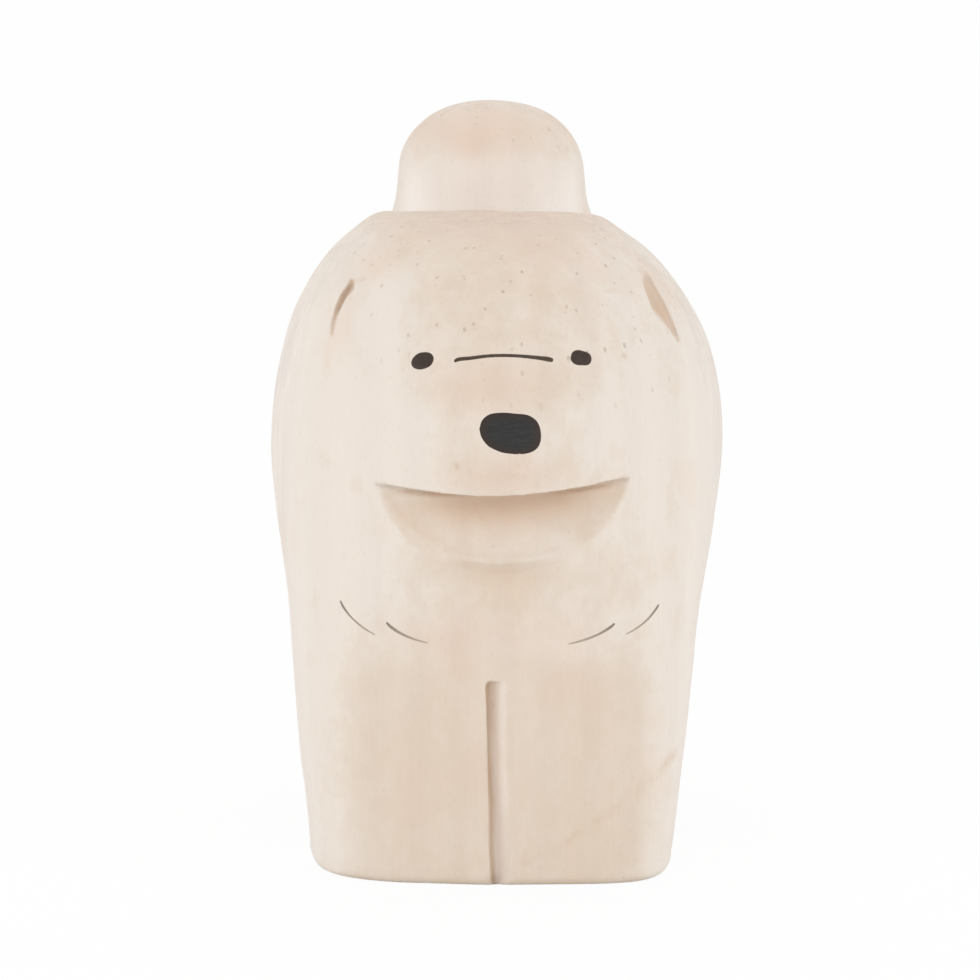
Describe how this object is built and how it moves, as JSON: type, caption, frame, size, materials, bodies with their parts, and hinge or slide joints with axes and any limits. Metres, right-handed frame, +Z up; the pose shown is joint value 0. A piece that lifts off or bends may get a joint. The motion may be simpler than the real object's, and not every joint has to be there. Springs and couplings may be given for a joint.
{
  "type": "wooden dog figurine",
  "caption": "Stout carved wooden dog standing square, with a wide wedge-cut mouth, gouged ears, a plump upright tail and a painted nose, eyes, brow line and fur strokes; a shelf ornament.",
  "frame": {"origin": "on the ground, under the middle of the figure's box", "axes": "+Z up; the dog faces -Y; +X is to the right of a viewer who looks it in the face"},
  "size_m": [0.048, 0.0643, 0.0761],
  "materials": {
    "body_wood": "pale, fine-grained, sanded and left unvarnished",
    "tail_wood": "pale, fine-grained, sanded and left unvarnished",
    "peg_wood": "plain turned peg",
    "nose_paint": "matt black paint",
    "eye_paint": "matt dark brown paint",
    "brow_ink": "matt dark brown line",
    "fur_ink": "thin grey drawn line"
  },
  "bodies": {
    "root": {"body": "body_wood", "tail": "tail_wood", "tail_dowel": "peg_wood", "nose": "nose_paint", "left_eye": "eye_paint", "right_eye": "eye_paint", "brow_line": "brow_ink", "fur_stroke_left_outer": "fur_ink", "fur_stroke_left_inner": "fur_ink", "fur_stroke_right_inner": "fur_ink", "fur_stroke_right_outer": "fur_ink"}
  },
  "joints": []
}
